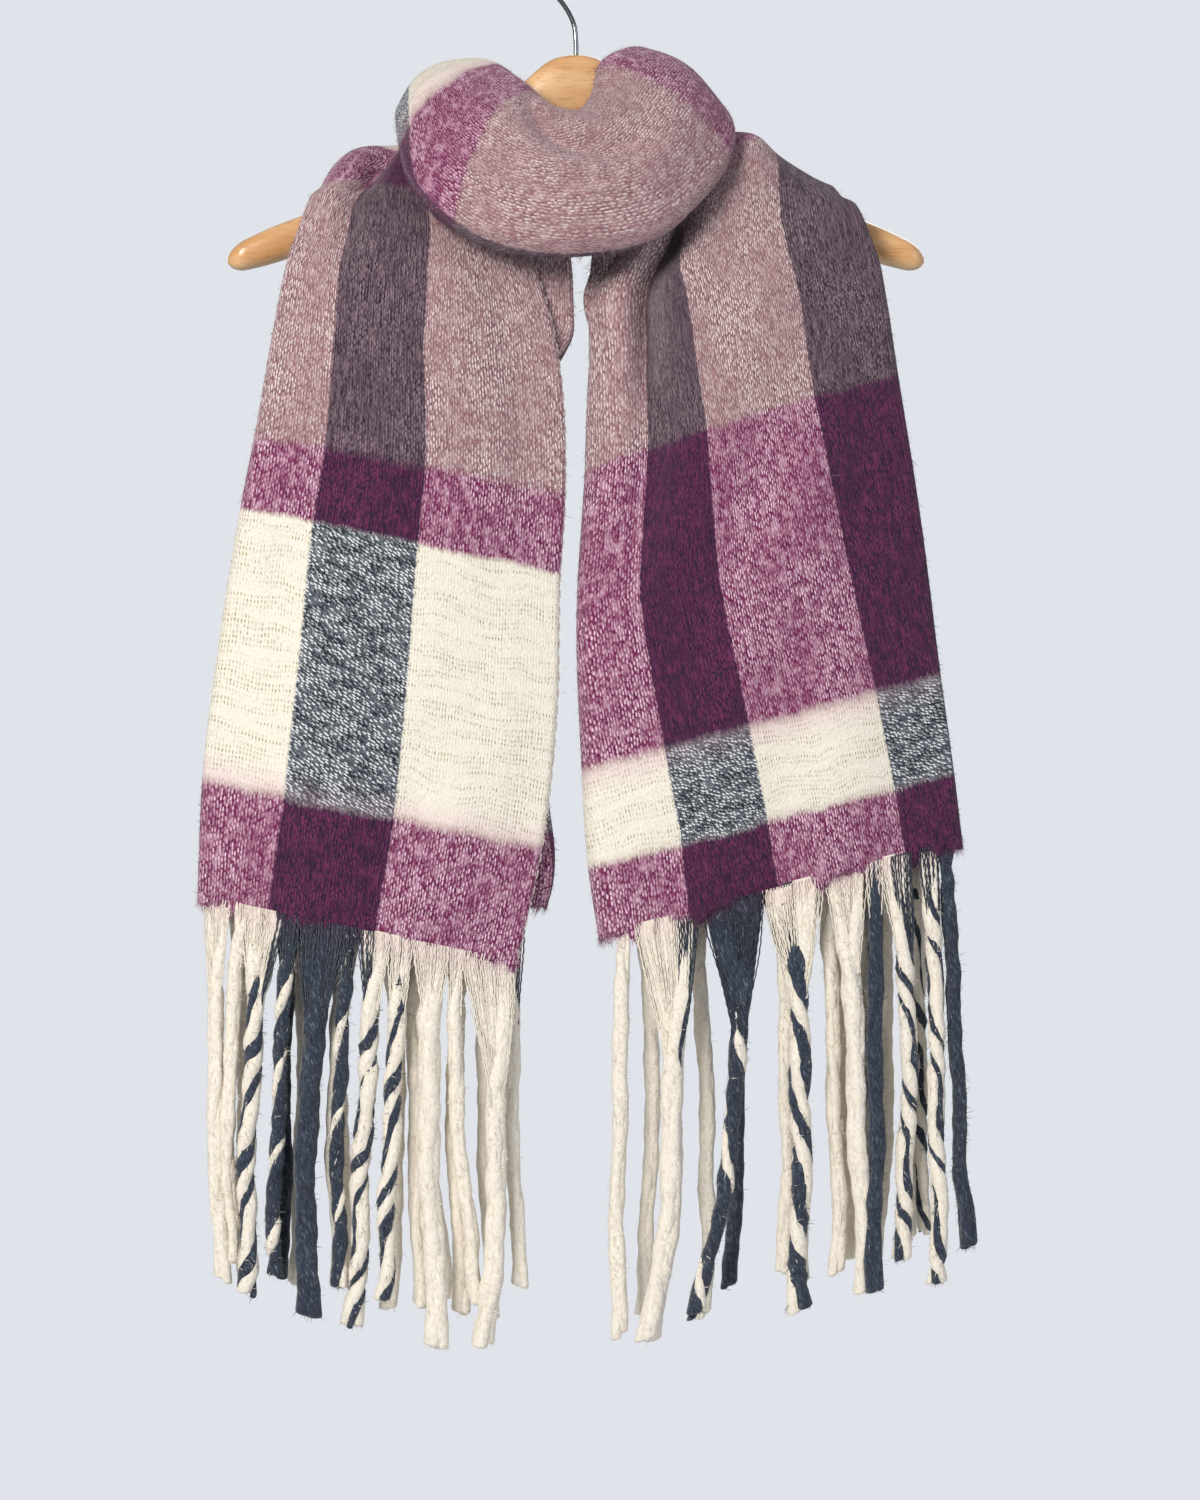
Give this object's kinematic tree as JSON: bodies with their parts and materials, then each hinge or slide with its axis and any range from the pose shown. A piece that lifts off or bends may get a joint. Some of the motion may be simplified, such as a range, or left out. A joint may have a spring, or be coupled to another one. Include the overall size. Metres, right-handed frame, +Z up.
{
  "type": "blanket scarf on a wooden coat hanger",
  "caption": "Wide brushed wool-look check scarf with twisted fringes, wound round the neck of a wooden coat hanger with a wire hook.",
  "frame": {"origin": "underside of the hook's crown, where a rail carries the hanger", "axes": "+Z up, the scarf's two ends hang at the front, which faces -Y, +X to the right as seen from the front"},
  "size_m": [0.4764, 0.2216, 0.8846],
  "materials": {
    "left_end": "brushed check cloth, dusty mauve and slate with magenta bands",
    "neck_back_inner": "brushed check cloth",
    "neck_loop": "brushed check cloth, dusty mauve with pale flecks",
    "neck_back_outer": "brushed check cloth",
    "right_end": "brushed check cloth, magenta and cream bands over slate stripes",
    "fringe_left": "soft twisted strands, cream and slate",
    "fringe_right": "soft twisted strands, cream and slate",
    "hanger_wood": "honey-brown varnish",
    "hook": "bright plated wire"
  },
  "bodies": {
    "root": {"left_end": "left_end", "neck_back_inner": "neck_back_inner", "neck_loop": "neck_loop", "neck_back_outer": "neck_back_outer", "right_end": "right_end", "fringe_left": "fringe_left", "fringe_right": "fringe_right", "hanger_wood": "hanger_wood", "hook": "hook"}
  },
  "joints": []
}
